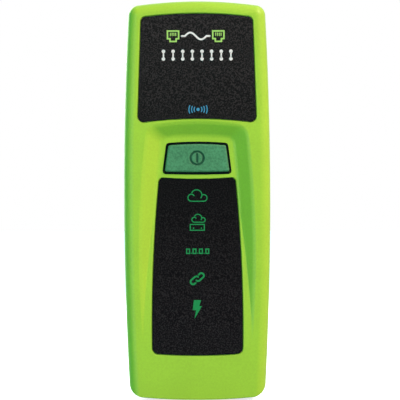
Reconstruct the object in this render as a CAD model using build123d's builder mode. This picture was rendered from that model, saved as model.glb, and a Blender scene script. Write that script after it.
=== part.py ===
from build123d import *
import os
from math import sqrt

# Network cable tester: hand-held case, network socket in the lower end, two AA cells.
# Frame: +Z up along the case, front face towards -Y, origin at the bottom centre of the box.
# All sizes in millimetres.

# Case envelope
height = 111.0
depth = 30.5
waist_width = 40.75
waist_z = 57.0
foot_x = 18.8
foot_z = 1.05
head_x = 18.98
head_z = 109.5
foot_corner = 4.1
head_corner = 2.9
face_radius = 1800.0
edge_round = 2.7
split_y = 4.0
front_wall = 2.2
cut_margin = 8.0
overlap = 1.0
upper_cavity = (31.0, 24.0)
upper_cavity_z = 94.0
upper_cavity_round = 3.0

# Scoop round the button, parallel to the face above, fading out below
scoop_depth = 2.6
scoop_top_z = 77.5
scoop_corner_x = 13.9
scoop_corner_z = 75.6
scoop_side_x = 15.9
scoop_side_z = 45.0
scoop_end_x = 15.2
scoop_end_z = 14.0
scoop_end_bow = 1.0
scoop_reach = 1.0
scoop_flare = 1.4
scoop_rounds = (3.0, 3.4)
floor_rounds = (2.6, 3.0)
rim_blend = 2.6
rim_gap = 0.03
rim_search = (18.0, 12.5, 80.0)
floor_blend = 1.8
floor_top_z = 73.7
floor_corner_x = 10.2
floor_corner_z = 73.2
floor_side_x = 12.2
floor_end_x = 11.6
fade_start_z = 52.0
fade_end_z = 21.0
fade_blend = 140.0
floor_y = -depth / 2 + scoop_depth

# Overlay films
film = 0.4
film_pocket = 0.45
film_gap = 0.2
upper_top_z = 107.5
upper_top_corner = (15.5, 106.45)
upper_bottom_z = 78.25
upper_bottom_corner = (16.5, 77.05)
lower_top_z = 61.33
lower_top_corner = (10.55, 61.8)
lower_bottom_z = 12.37
lower_bottom_corner = (12.5, 12.93)
lower_side = (12.25, 37.0)
upper_rounds = (1.4, 1.6)
lower_rounds = (1.1, 1.7)

# Push button
button_top_z = 71.66
button_top_corner = (8.47, 71.3)
button_bottom_z = 62.93
button_bottom_corner = (9.5, 63.1)
button_corner = 1.0
button_gap = 0.45
button_proud = 0.9
button_travel = 0.4
flange_margin = 0.8
flange_thickness = 0.7
flange_gap = 0.1
button_z = 67.3
symbol_ring_r = 2.1
symbol_line = 0.58
symbol_bar = 2.65
symbol_depth = 0.25

# Circuit board
board_front_y = -8.2
board_thickness = 1.6
board_back_y = board_front_y + board_thickness
board_width = 33.0
board_low_z = 12.0
board_high_z = 101.0
board_corner = 1.5
tongue_width = 20.6
tongue_low_z = 4.1
tongue_high_z = 107.0
cavity_front_y = -10.85
upper_cavity_front_y = -12.9
indicator_zs = (56.8, 49.4, 41.3, 33.7, 25.3)
wireless_z = 80.8
window_size = (6.6, 5.4)
window_round = 1.0

# Battery bay
cell_r = 7.25
cell_length = 50.5
nub_r = 2.75
nub_length = 1.3
cell_round = 0.5
cell_x = 7.4
cell_y = 4.3
bay_half_width = 14.9
bay_low_z = 42.6
bay_high_z = 99.6
tray_wall = 1.2
tray_floor_y = cell_y - cell_r - 0.1
tray_back_y = 8.0
contact_plate = 0.4
contact_size = 9.0
contact_round = 1.0
spring_r = 3.0
spring_wire_r = 0.3
spring_pitch = 1.35
spring_gap = 0.05

# Battery door and its pivot in the rear shell
back_y = depth / 2
rear_inset = 0.35
rear_draft = 0.8
rear_edge_round = 2.0
rear_wall = 1.85
door_half_width = 15.8
door_high_z = 101.3
pivot_r = 1.15
door_thickness = 2 * pivot_r
pivot_y = back_y - pivot_r
pivot_z = 40.6
pin_r = 0.7
pin_length = 1.1
pin_clearance = 0.06
door_gap = 0.2
ledge_y = 12.85
ledge_thickness = 1.8

# Fasteners
upper_screw = (14.2, 104.9)
lower_screw = (13.8, 7.5)
screw_r = 1.1
screw_head_r = 2.0
screw_head = 1.5
screw_seat_y = 9.0
screw_length = 11.0
boss_r = 2.6
board_screw = (13.2, 92.0)
board_screw_low = (13.2, 25.6)
board_drive_r = 0.5
board_screw_head = 1.0
screw_clearance = 0.1
screw_tip_gap = 0.5
screw_head_round = 0.4
drive_floor = 0.5

# Network socket, mouth in the lower end
jack_half_width = 7.75
jack_back_y = 6.6
jack_mouth_z = 0.8
jack_top_z = 21.5
shield = 0.3
shield_lip = 0.2
ground_slot = (6.0, 0.6)
ground_slot_zs = (7.0, 14.0)
port_half_width = 5.95
port_front_y = -4.3
port_back_y = 2.6
port_depth = 12.7
contact_count = 8
contact_pitch = 1.02
contact_width = 0.4
contact_thickness = 0.3
bezel_half_width = 11.0
bezel_front_y = -8.8
bezel_back_y = 9.2
bezel_thickness = 2.2
bezel_flange = 0.9
bezel_flange_z = 3.0
bezel_overhang = 1.2
bezel_corner = 1.2
bezel_chamfer = 0.3
bezel_neck_inset = 0.5
port_clearance = 0.2

# Components on the board: x, z, width, length and thickness of each
rear_chips = {
    "processor": (-4.0, 66.0, 12.0, 12.0, 1.2),
    "network_chip": (4.0, 33.0, 9.0, 9.0, 1.0),
    "memory_chip": (9.0, 80.0, 6.0, 8.0, 1.0),
    "power_inductor": (-12.2, 31.5, 6.0, 6.0, 3.0),
    "transformer_module": (0.0, 25.4, 15.5, 6.2, 4.0),
    "crystal": (13.0, 37.0, 3.2, 2.5, 0.8),
}
front_chips = {
    "wifi_module": (0.0, 94.0, 16.0, 12.0, 0.8),
    "wifi_antenna": (0.0, 103.5, 9.0, 3.0, 1.0),
}
wifi_cover = (0.0, 94.0, 13.0, 10.0, 2.0)
chip_chamfer = 0.2
capacitors_at = [(13.2, 20.0), (-13.2, 20.0), (13.0, 33.0)]
capacitor_r = 2.4
capacitor_height = 5.2
capacitor_round = 0.4

# Small details
light_pipe_r = 1.5
light_gap = 0.1
standoff_r = 1.9
board_screw_r = 0.8
board_screw_length = 3.2
tongue_outer = 1.3
tongue_depth = 0.9
tongue_gap = 0.1
seam_inset = 0.75
seam_width = 0.5
frame_margin = (1.4, 0.9)
scallop_length = 13.0
scallop_width = 5.0
scallop_depth = 1.3
door_corner = 1.6
label_width = 24.0
label_height = 20.0
label_z = 23.5
label_depth = 0.35
label_thickness = 0.25
label_corner = 1.5
foam_size = (24.0, 12.0)
foam_gap = 0.05
button_edge = 0.5
stem_end_y = -9.9
stem_r = 1.5
plunger_r = 0.9
switch_front_y = -9.25
switch_width = 4.6
switch_round = 0.4
switch_pad = (1.3, 0.7)
switch_pads_at = [(x, button_z + z) for x in (-2.9, 2.9) for z in (-1.6, 1.6)]
pad_thickness = 0.25
plunger_gap = 0.1
guide_thickness = 0.95
guide_width = 9.4
guide_height = 39.2
guide_mid_z = 41.2
led_height = 0.6
led_size = (1.6, 0.8)
baffle_margin = 1.0
saddle_height = 3.0
saddle_margin = 8.0
saddle_gap = 0.1
tray_foot_r = 1.2
tray_foot_x = 14.5
tray_foot_zs = (44.0, 98.0)
lead_x = 10.5
lead_y = -1.5
lead_bend_z = 36.6
lead_bend = 2.2
lead_r = 0.6
finger_half_width = 6.0
finger_length = 9.0
slit_width = 0.6
rib_depth = 0.5
rib_start = 3.0
rib_pitch = 1.8
rib_count = 5
rib_length = 12.0
rib_width = 0.8
drive_r = 1.0
bezel_gap = 0.12
tab_half_width = 3.2
tab_depth = 1.6
catch_half_width = 1.8
catch_depth = 2.8
catch_length = 9.0
contact_tip_y = -2.6
contact_low_z = 3.2
contact_foot = (0.5, 1.2)
contact_high_z = 11.6
contact_tip = 0.6

os.makedirs("parts", exist_ok=True)


def face_y(z):
    """Y of the bowed front face at height z."""
    return -depth / 2 + face_radius - sqrt(face_radius**2 - (z - waist_z) ** 2)


def front_plane(y):
    """Plane seen from the front, at depth y: its x is X and its y is Z."""
    return Plane.XZ.offset(-y)


def rear_plane(y):
    """Plane facing backwards at depth y: its x is -X and its y is Z."""
    return Plane(origin=(0, y, 0), x_dir=(-1, 0, 0), z_dir=(0, 1, 0))


def case_outline(plane, inset=0.0, foot_drop=0.0):
    """Outline of the case in the front view, inset from its surface."""
    low_x = foot_x - inset
    low_z = foot_z + inset
    high_x = head_x - inset
    high_z = head_z - inset
    mid_x = waist_width / 2 - inset
    with BuildSketch(plane) as outline:
        with BuildLine():
            ThreePointArc((low_x, low_z), (mid_x, waist_z), (high_x, high_z))
            ThreePointArc((high_x, high_z), (0, height - inset), (-high_x, high_z))
            ThreePointArc((-high_x, high_z), (-mid_x, waist_z), (-low_x, low_z))
            if foot_drop:
                Polyline((low_x, low_z), (low_x, -foot_drop), (-low_x, -foot_drop), (-low_x, low_z))
            else:
                ThreePointArc((-low_x, low_z), (0, inset), (low_x, low_z))
        make_face()
        fillet(outline.vertices().group_by(Axis.Y)[-1], head_corner - 0.6 * inset)
        if not foot_drop:
            fillet(outline.vertices().group_by(Axis.Y)[0], foot_corner - 0.6 * inset)
    return outline.sketch


def rear_outline(y, inset):
    """Outline of the rear shell at depth y, its foot level with the foot of the case."""
    return case_outline(rear_plane(y), rear_inset + inset).moved(Location((0, 0, -rear_inset)))


def four_sided(plane, corner_top, z_top, corner_bottom, z_bottom, rounds, side=None, grow=0.0):
    """Symmetric panel outline: bowed top and bottom edges, straight or bowed sides."""
    top_x = corner_top[0] + grow
    top_z = corner_top[1] + grow
    low_x = corner_bottom[0] + grow
    low_z = corner_bottom[1] - grow
    with BuildSketch(plane) as panel:
        with BuildLine():
            ThreePointArc((-top_x, top_z), (0, z_top + grow), (top_x, top_z))
            ThreePointArc((-low_x, low_z), (0, z_bottom - grow), (low_x, low_z))
            if side:
                side_x = side[0] + grow
                ThreePointArc((top_x, top_z), (side_x, side[1]), (low_x, low_z))
                ThreePointArc((-top_x, top_z), (-side_x, side[1]), (-low_x, low_z))
            else:
                Line((top_x, top_z), (low_x, low_z))
                Line((-top_x, top_z), (-low_x, low_z))
        make_face()
        fillet(panel.vertices().group_by(Axis.Y)[-1], rounds[0] + grow)
        fillet(panel.vertices().group_by(Axis.Y)[0], rounds[1] + grow)
    return panel.sketch


def upper_outline(plane, grow=0.0):
    return four_sided(
        plane, upper_top_corner, upper_top_z, upper_bottom_corner, upper_bottom_z, upper_rounds, grow=grow
    )


def lower_outline(plane, grow=0.0):
    return four_sided(
        plane,
        lower_top_corner,
        lower_top_z,
        lower_bottom_corner,
        lower_bottom_z,
        lower_rounds,
        lower_side,
        grow,
    )


def button_outline(plane, grow=0.0):
    return four_sided(
        plane,
        button_top_corner,
        button_top_z,
        button_bottom_corner,
        button_bottom_z,
        (button_corner, button_corner),
        grow=grow,
    )


def behind_face(shift=0.0):
    """Side profile of everything behind the bowed face, moved back by shift."""
    low_z = -2 * cut_margin
    high_z = height + cut_margin
    with BuildSketch(Plane.YZ) as profile:
        with BuildLine():
            ThreePointArc(
                (face_y(low_z) + shift, low_z),
                (face_y(waist_z) + shift, waist_z),
                (face_y(high_z) + shift, high_z),
            )
            Polyline(
                (face_y(high_z) + shift, high_z),
                (depth, high_z),
                (depth, low_z),
                (face_y(low_z) + shift, low_z),
            )
        make_face()
    return profile.sketch


def behind_floor(shift=0.0):
    """Side profile of everything behind the scoop floor and the face below it."""
    low_z = -2 * cut_margin
    high_z = height + cut_margin
    mid_z = (fade_end_z + low_z) / 2
    with BuildSketch(Plane.YZ) as profile:
        with BuildLine():
            Polyline(
                (face_y(low_z) + shift, low_z),
                (depth, low_z),
                (depth, high_z),
                (floor_y + shift, high_z),
                (floor_y + shift, fade_start_z),
                (face_y(fade_end_z) + shift, fade_end_z),
            )
            ThreePointArc(
                (face_y(fade_end_z) + shift, fade_end_z),
                (face_y(mid_z) + shift, mid_z),
                (face_y(low_z) + shift, low_z),
            )
        make_face()
        bends = [v for v in profile.vertices() if fade_end_z - 1 < v.Y < fade_start_z + 1]
        fillet(bends, fade_blend)
    return profile.sketch


def film_sheet(outline, behind, grow, front, back):
    """Panel-shaped sheet that follows the surface given by behind, between two depths below it."""
    with BuildPart() as sheet:
        extrude(outline(front_plane(floor_y + overlap), grow), amount=depth)
        extrude(behind(front), amount=waist_width, both=True, mode=Mode.INTERSECT)
        extrude(behind(back), amount=waist_width, both=True, mode=Mode.SUBTRACT)
    return sheet.part


# Scoop cutter: ramped sides from the face down to the floor, blended at both ends
with BuildPart() as scoop_walls:
    loft(
        [
            four_sided(
                front_plane(-depth / 2 - scoop_reach),
                (scoop_corner_x + scoop_flare, scoop_corner_z + scoop_flare),
                scoop_top_z + scoop_flare,
                (scoop_end_x + scoop_flare, scoop_end_z),
                scoop_end_z - scoop_end_bow,
                scoop_rounds,
                (scoop_side_x + scoop_flare, scoop_side_z),
            ),
            four_sided(
                front_plane(floor_y),
                (floor_corner_x, floor_corner_z),
                floor_top_z,
                (floor_end_x, scoop_end_z),
                scoop_end_z - scoop_end_bow,
                floor_rounds,
                (floor_side_x, scoop_side_z),
            ),
        ]
    )
    fillet(scoop_walls.faces().sort_by(Axis.Y)[-1].edges(), floor_blend)


def is_rim(edge):
    """Whether an edge is where the scoop's walls meet the plate in front of the face."""
    half_width, low_z, high_z = rim_search
    middle = edge.center()
    on_face = abs(middle.Y - face_y(middle.Z) + rim_gap) < rim_gap
    return on_face and abs(middle.X) < half_width and low_z < middle.Z < high_z


with BuildPart() as scoop:
    with BuildSketch(front_plane(floor_y)):
        with Locations((0, (scoop_top_z + scoop_end_z) / 2)):
            Rectangle(waist_width, scoop_top_z + overlap)
    extrude(amount=2 * scoop_depth)
    extrude(behind_face(-rim_gap), amount=waist_width, both=True, mode=Mode.SUBTRACT)
    add(scoop_walls.part)
    fillet(scoop.edges().filter_by(is_rim), rim_blend)
    extrude(behind_floor(), amount=waist_width, both=True, mode=Mode.SUBTRACT)


def finish(piece, name):
    """Label a finished piece and write its file."""
    piece.part.label = name
    export_step(piece.part, f"parts/{name}.step")


def mirrored(x, z):
    """The two places, left and right, of a pair."""
    return [(-x, z), (x, z)]


case_screws_at = mirrored(*upper_screw) + mirrored(*lower_screw)
board_screws_at = mirrored(*board_screw) + mirrored(*board_screw_low)

# Front shell
with BuildPart() as front_shell:
    extrude(case_outline(front_plane(split_y), foot_drop=cut_margin), amount=depth)
    extrude(behind_face(), amount=waist_width, both=True, mode=Mode.INTERSECT)
    fillet(front_shell.faces().sort_by(Axis.Y)[0].edges(), edge_round)
    extrude(case_outline(front_plane(split_y)), amount=depth, mode=Mode.INTERSECT)
    # Inside space, deeper at the upper end
    extrude(
        case_outline(front_plane(split_y), front_wall),
        amount=split_y - cavity_front_y,
        mode=Mode.SUBTRACT,
    )
    with BuildSketch(front_plane(cavity_front_y)):
        with Locations((0, upper_cavity_z)):
            RectangleRounded(*upper_cavity, upper_cavity_round)
    extrude(amount=cavity_front_y - upper_cavity_front_y, mode=Mode.SUBTRACT)
    # Film pockets, scoop, button opening and light windows
    add(film_sheet(upper_outline, behind_face, film_gap, -cut_margin, film_pocket), mode=Mode.SUBTRACT)
    add(film_sheet(lower_outline, behind_floor, film_gap, -cut_margin, film_pocket), mode=Mode.SUBTRACT)
    add(scoop.part, mode=Mode.SUBTRACT)
    extrude(button_outline(front_plane(cavity_front_y)), amount=depth, mode=Mode.SUBTRACT)
    with BuildSketch(front_plane(cavity_front_y)):
        with Locations([(0, z) for z in indicator_zs]):
            RectangleRounded(*window_size, window_round)
        with Locations((0, wireless_z)):
            Circle(light_pipe_r + light_gap)
    extrude(amount=depth, mode=Mode.SUBTRACT)
    # Bosses for the case screws and standoffs for the board
    with BuildSketch(front_plane(split_y)):
        with Locations(case_screws_at):
            Circle(boss_r)
    extrude(amount=split_y - cavity_front_y)
    with BuildSketch(front_plane(split_y)):
        with Locations(case_screws_at):
            Circle(screw_r)
    extrude(amount=screw_length, mode=Mode.SUBTRACT)
    with BuildSketch(front_plane(board_front_y)):
        with Locations(board_screws_at):
            Circle(standoff_r)
    extrude(amount=board_front_y - upper_cavity_front_y)
    with BuildSketch(front_plane(board_front_y)):
        with Locations(board_screws_at):
            Circle(board_screw_r)
    extrude(amount=board_screw_length, mode=Mode.SUBTRACT)
    # Groove for the tongue of the rear shell and notch for the end plate
    with BuildSketch(front_plane(split_y)):
        add(case_outline(Plane.XY, tongue_outer - tongue_gap))
        add(case_outline(Plane.XY, front_wall + overlap), mode=Mode.SUBTRACT)
    extrude(amount=tongue_depth + tongue_gap, mode=Mode.SUBTRACT)
    with BuildSketch(front_plane(split_y)):
        Rectangle(2 * (bezel_half_width + bezel_gap), 2 * (front_wall + overlap))
    extrude(amount=split_y - bezel_front_y + bezel_gap, mode=Mode.SUBTRACT)
finish(front_shell, "front_shell")

# Rear shell: drafted shell with the door opening, screw wells and label recess
with BuildPart() as rear_shell:
    loft([rear_outline(split_y, 0), rear_outline(back_y, rear_draft)])
    fillet(rear_shell.faces().sort_by(Axis.Y)[-1].edges(), rear_edge_round)
    loft(
        [rear_outline(split_y, rear_wall), rear_outline(back_y - rear_wall, rear_wall + rear_draft)],
        mode=Mode.SUBTRACT,
    )
    # Shadow groove along the seam
    with BuildSketch(rear_plane(split_y)):
        add(case_outline(Plane.XY, -overlap))
        add(case_outline(Plane.XY, seam_inset), mode=Mode.SUBTRACT)
    extrude(amount=seam_width, mode=Mode.SUBTRACT)
    # Tongue that enters the front shell
    with BuildSketch(rear_plane(split_y + seam_width)):
        add(case_outline(Plane.XY, tongue_outer))
        add(case_outline(Plane.XY, front_wall), mode=Mode.SUBTRACT)
    extrude(amount=-(tongue_depth + seam_width))
    # Thick frame round the door opening
    with BuildSketch(rear_plane(ledge_y - ledge_thickness)):
        with Locations((0, (pivot_z + door_high_z) / 2)):
            Rectangle(
                2 * (door_half_width + frame_margin[0]),
                door_high_z - pivot_z + 2 * frame_margin[1],
            )
    extrude(amount=back_y - rear_wall - ledge_y + ledge_thickness)
    # Wells for the case screws
    with BuildSketch(rear_plane(split_y)):
        with Locations(case_screws_at):
            Circle(boss_r)
    extrude(amount=back_y - rear_wall - split_y)
    with BuildSketch(rear_plane(split_y)):
        with Locations(case_screws_at):
            Circle(screw_r + pin_clearance)
    extrude(amount=depth, mode=Mode.SUBTRACT)
    with BuildSketch(front_plane(screw_seat_y)):
        with Locations(case_screws_at):
            Circle(screw_head_r + pin_clearance)
    extrude(amount=-depth, mode=Mode.SUBTRACT)
    # Seat of the door, opening for the cells, and finger scallop
    with BuildSketch(rear_plane(ledge_y)) as seat:
        with Locations((0, (pivot_z - pivot_r + door_high_z) / 2)):
            Rectangle(2 * (door_half_width + door_gap), door_high_z - pivot_z + pivot_r + 2 * door_gap)
        fillet(seat.vertices().group_by(Axis.Y)[-1], door_corner)
    extrude(amount=depth, mode=Mode.SUBTRACT)
    with BuildSketch(rear_plane(0)):
        with Locations((0, (bay_low_z + bay_high_z) / 2)):
            Rectangle(2 * bay_half_width, bay_high_z - bay_low_z)
    extrude(amount=depth, mode=Mode.SUBTRACT)
    with BuildSketch(rear_plane(back_y - scallop_depth)):
        with Locations((0, door_high_z)):
            SlotOverall(scallop_length, scallop_width)
    extrude(amount=depth, mode=Mode.SUBTRACT)
    # Blind bores for the door pins
    with BuildSketch(Plane.YZ):
        with Locations((pivot_y, pivot_z)):
            Circle(pin_r + pin_clearance)
    extrude(amount=door_half_width + door_gap + pin_length, both=True, mode=Mode.SUBTRACT)
    # Label recess
    with BuildSketch(rear_plane(back_y - label_depth)):
        with Locations((0, label_z)):
            RectangleRounded(label_width + 2 * film_gap, label_height + 2 * film_gap, label_corner)
    extrude(amount=depth, mode=Mode.SUBTRACT)
    # Notch for the end plate
    with BuildSketch(rear_plane(split_y - tongue_depth)):
        Rectangle(2 * (bezel_half_width + bezel_gap), 2 * (front_wall + overlap))
    extrude(amount=bezel_back_y + bezel_gap - split_y + tongue_depth, mode=Mode.SUBTRACT)
finish(rear_shell, "rear_shell")

# Overlay films
with BuildPart() as upper_overlay:
    add(film_sheet(upper_outline, behind_face, 0.0, film_pocket - film, film_pocket))
finish(upper_overlay, "upper_overlay")

with BuildPart() as lower_overlay:
    add(film_sheet(lower_outline, behind_floor, 0.0, film_pocket - film, film_pocket))
finish(lower_overlay, "lower_overlay")

# Push button: cap through the opening, flange behind it, stem on the switch
button_front_y = floor_y - button_proud
flange_front_y = cavity_front_y + flange_gap
flange_back_y = flange_front_y + flange_thickness
with BuildPart() as power_button:
    extrude(
        button_outline(front_plane(flange_front_y), -button_gap),
        amount=flange_front_y - button_front_y,
    )
    fillet(power_button.faces().sort_by(Axis.Y)[0].edges(), button_edge)
    extrude(button_outline(front_plane(flange_back_y), flange_margin), amount=flange_thickness)
    with BuildSketch(front_plane(stem_end_y)):
        with Locations((0, button_z)):
            Circle(stem_r)
    extrude(amount=stem_end_y - flange_front_y)
    # Power symbol, cut into the cap
    with BuildSketch(front_plane(button_front_y)):
        with Locations((0, button_z)):
            Circle(symbol_ring_r)
            Circle(symbol_ring_r - symbol_line, mode=Mode.SUBTRACT)
            SlotOverall(symbol_bar, symbol_line, rotation=90)
    extrude(amount=-symbol_depth, mode=Mode.SUBTRACT)
finish(power_button, "power_button")

# Switch under the button
with BuildPart() as switch_plunger:
    with BuildSketch(front_plane(stem_end_y)):
        with Locations((0, button_z)):
            Circle(plunger_r)
    extrude(amount=-(board_front_y - button_travel - plunger_gap - stem_end_y))
finish(switch_plunger, "switch_plunger")

with BuildPart() as tact_switch:
    with BuildSketch(front_plane(board_front_y)):
        with Locations((0, button_z)):
            RectangleRounded(switch_width, switch_width, switch_round)
            Circle(plunger_r + pin_clearance, mode=Mode.SUBTRACT)
    extrude(amount=board_front_y - switch_front_y)
    with BuildSketch(front_plane(board_front_y)):
        with Locations(switch_pads_at):
            Rectangle(*switch_pad)
    extrude(amount=pad_thickness)
finish(tact_switch, "tact_switch")

# Light guide, its black separator, the wireless light pipe and the LEDs
guide_back_y = cavity_front_y + guide_thickness
with BuildPart() as light_guide:
    with BuildSketch(front_plane(guide_back_y)):
        with Locations((0, guide_mid_z)):
            Rectangle(guide_width, guide_height)
    extrude(amount=guide_thickness)
    with BuildSketch(front_plane(cavity_front_y)):
        with Locations([(0, z) for z in indicator_zs]):
            RectangleRounded(window_size[0] - 2 * light_gap, window_size[1] - 2 * light_gap, window_round)
    extrude(amount=depth)
    extrude(behind_floor(film_pocket + light_gap), amount=waist_width, both=True, mode=Mode.INTERSECT)
finish(light_guide, "light_guide")

with BuildPart() as light_baffle:
    with BuildSketch(front_plane(board_front_y)):
        with Locations((0, guide_mid_z)):
            Rectangle(guide_width + 2 * baffle_margin, guide_height)
        with Locations([(0, z) for z in indicator_zs]):
            Rectangle(window_size[0] + baffle_margin, window_size[1], mode=Mode.SUBTRACT)
    extrude(amount=board_front_y - guide_back_y)
finish(light_baffle, "light_baffle")

with BuildPart() as wireless_light_pipe:
    with BuildSketch(front_plane(board_front_y - led_height)):
        with Locations((0, wireless_z)):
            Circle(light_pipe_r)
    extrude(amount=depth)
    extrude(behind_face(film_pocket + light_gap), amount=waist_width, both=True, mode=Mode.INTERSECT)
finish(wireless_light_pipe, "wireless_light_pipe")

with BuildPart() as status_leds:
    with BuildSketch(front_plane(board_front_y)):
        with Locations([(0, z) for z in (*indicator_zs, wireless_z)]):
            Rectangle(*led_size)
    extrude(amount=led_height)
finish(status_leds, "status_leds")

# Circuit board with its screws
with BuildPart() as main_board:
    with BuildSketch(front_plane(board_back_y)):
        with Locations((0, (board_low_z + board_high_z) / 2)):
            RectangleRounded(board_width, board_high_z - board_low_z, board_corner)
        with Locations((0, (tongue_low_z + tongue_high_z) / 2)):
            Rectangle(tongue_width, tongue_high_z - tongue_low_z)
        with Locations(board_screws_at):
            Circle(board_screw_r + screw_clearance, mode=Mode.SUBTRACT)
    extrude(amount=board_thickness)
finish(main_board, "main_board")

with BuildPart() as board_screws:
    with BuildSketch(front_plane(board_back_y)):
        with Locations(board_screws_at):
            Circle(board_screw_r)
    extrude(amount=board_screw_length + board_thickness - screw_tip_gap)
    with BuildSketch(front_plane(board_back_y)):
        with Locations(board_screws_at):
            Circle(2 * board_screw_r)
            RegularPolygon(board_drive_r, 6, mode=Mode.SUBTRACT)
    extrude(amount=-board_screw_head)
finish(board_screws, "board_screws")


def chip(x, z, width, length, thickness, y, outward):
    """A flat component on the board: outward is 1 on the rear side and -1 on the front side."""
    with BuildPart() as body:
        with BuildSketch(front_plane(y)):
            with Locations((x, z)):
                Rectangle(width, length)
        extrude(amount=-outward * thickness)
        top = body.faces().sort_by(Axis.Y)[-1 if outward > 0 else 0]
        chamfer(top.edges(), min(chip_chamfer, thickness / 4))
    return body


for chip_name, chip_size in rear_chips.items():
    finish(chip(*chip_size, board_back_y, 1), chip_name)
for chip_name, chip_size in front_chips.items():
    finish(chip(*chip_size, board_front_y, -1), chip_name)
finish(chip(*wifi_cover, board_front_y - front_chips["wifi_module"][-1], -1), "wifi_shield")

with BuildPart() as capacitors:
    with BuildSketch(front_plane(board_back_y)):
        with Locations(capacitors_at):
            Circle(capacitor_r)
    extrude(amount=-capacitor_height)
    fillet(capacitors.edges().filter_by(GeomType.CIRCLE).group_by(Axis.Y)[-1], capacitor_round)
finish(capacitors, "capacitors")

# Battery tray with its contacts, springs and cells
with BuildPart() as battery_tray:
    with BuildSketch(rear_plane(tray_floor_y - tray_wall)):
        with Locations((0, (bay_low_z + bay_high_z) / 2)):
            Rectangle(2 * (bay_half_width + tray_wall), bay_high_z - bay_low_z + 2 * tray_wall)
    extrude(amount=tray_back_y - tray_floor_y + tray_wall)
    with BuildSketch(rear_plane(tray_floor_y)):
        with Locations((0, (bay_low_z + bay_high_z) / 2)):
            Rectangle(2 * bay_half_width, bay_high_z - bay_low_z)
    extrude(amount=depth, mode=Mode.SUBTRACT)
    # Saddle between the cells
    with BuildSketch(Plane.XY.offset(bay_low_z + saddle_margin)):
        with Locations((0, tray_floor_y + saddle_height / 2)):
            Rectangle(2 * cell_x, saddle_height)
        with Locations(*mirrored(cell_x, cell_y)):
            Circle(cell_r + saddle_gap, mode=Mode.SUBTRACT)
    extrude(amount=bay_high_z - bay_low_z - 2 * saddle_margin)
    # Feet on the board
    with BuildSketch(rear_plane(board_back_y)):
        with Locations([place for z in tray_foot_zs for place in mirrored(tray_foot_x, z)]):
            Circle(tray_foot_r)
    extrude(amount=tray_floor_y - tray_wall - board_back_y)
finish(battery_tray, "battery_tray")

with BuildPart() as plate_contacts:
    with BuildSketch(Plane.XY.offset(bay_high_z - contact_plate)):
        with Locations((0, cell_y)):
            RectangleRounded(2 * cell_x + contact_size, contact_size, contact_round)
    extrude(amount=contact_plate)
    with BuildSketch(Plane.XY.offset(bay_low_z)):
        with Locations((cell_x, cell_y)):
            RectangleRounded(contact_size, contact_size, contact_round)
    extrude(amount=contact_plate)
finish(plate_contacts, "plate_contacts")

spring_space = bay_high_z - bay_low_z - 2 * contact_plate - cell_length
spring_rise = spring_space - 2 * (spring_wire_r + spring_gap)


def coil_spring(x, z):
    """Coil along Z, its lowest wire surface just above z."""
    start = z + spring_wire_r + spring_gap
    with BuildPart() as coil:
        with BuildLine():
            path = Helix(spring_pitch, spring_rise, spring_r, center=(x, cell_y, start))
        with BuildSketch(Plane(origin=path @ 0, z_dir=path % 0)):
            Circle(spring_wire_r)
        sweep(path=path, is_frenet=True)
    return coil


springs = [
    coil_spring(-cell_x, bay_low_z + contact_plate),
    coil_spring(cell_x, bay_high_z - contact_plate - spring_space),
]
with BuildPart() as spring_contacts:
    with BuildSketch(Plane.XY.offset(bay_low_z)):
        with Locations((-cell_x, cell_y)):
            RectangleRounded(contact_size, contact_size, contact_round)
    extrude(amount=contact_plate)
    for spring in springs:
        add(spring.part)
finish(spring_contacts, "spring_contacts")


def battery_cell(name, x, low_z, nub_up):
    """AA cell standing on its lower end at low_z."""
    body_low_z = low_z if nub_up else low_z + nub_length
    with BuildPart() as cell:
        with BuildSketch(Plane.XY.offset(body_low_z)):
            with Locations((x, cell_y)):
                Circle(cell_r)
        extrude(amount=cell_length - nub_length)
        fillet(cell.edges().filter_by(GeomType.CIRCLE), cell_round)
        with BuildSketch(Plane.XY.offset(low_z)):
            with Locations((x, cell_y)):
                Circle(nub_r)
        if nub_up:
            extrude(amount=cell_length)
        else:
            extrude(amount=nub_length + overlap)
    finish(cell, name)


battery_cell("battery_cell_left", -cell_x, bay_high_z - contact_plate - cell_length, True)
battery_cell("battery_cell_right", cell_x, bay_low_z + contact_plate, False)


def battery_lead(name, x):
    """Insulated lead from the lower end of the tray down to the board."""
    with BuildPart() as lead:
        with BuildLine():
            path = FilletPolyline(
                (x, lead_y, bay_low_z - tray_wall),
                (x, lead_y, lead_bend_z),
                (x, board_back_y, lead_bend_z),
                radius=lead_bend,
            )
        with BuildSketch(Plane(origin=path @ 0, z_dir=path % 0)):
            Circle(lead_r)
        sweep(path=path)
    finish(lead, name)


battery_lead("battery_lead_positive", lead_x)
battery_lead("battery_lead_negative", -lead_x)

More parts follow.
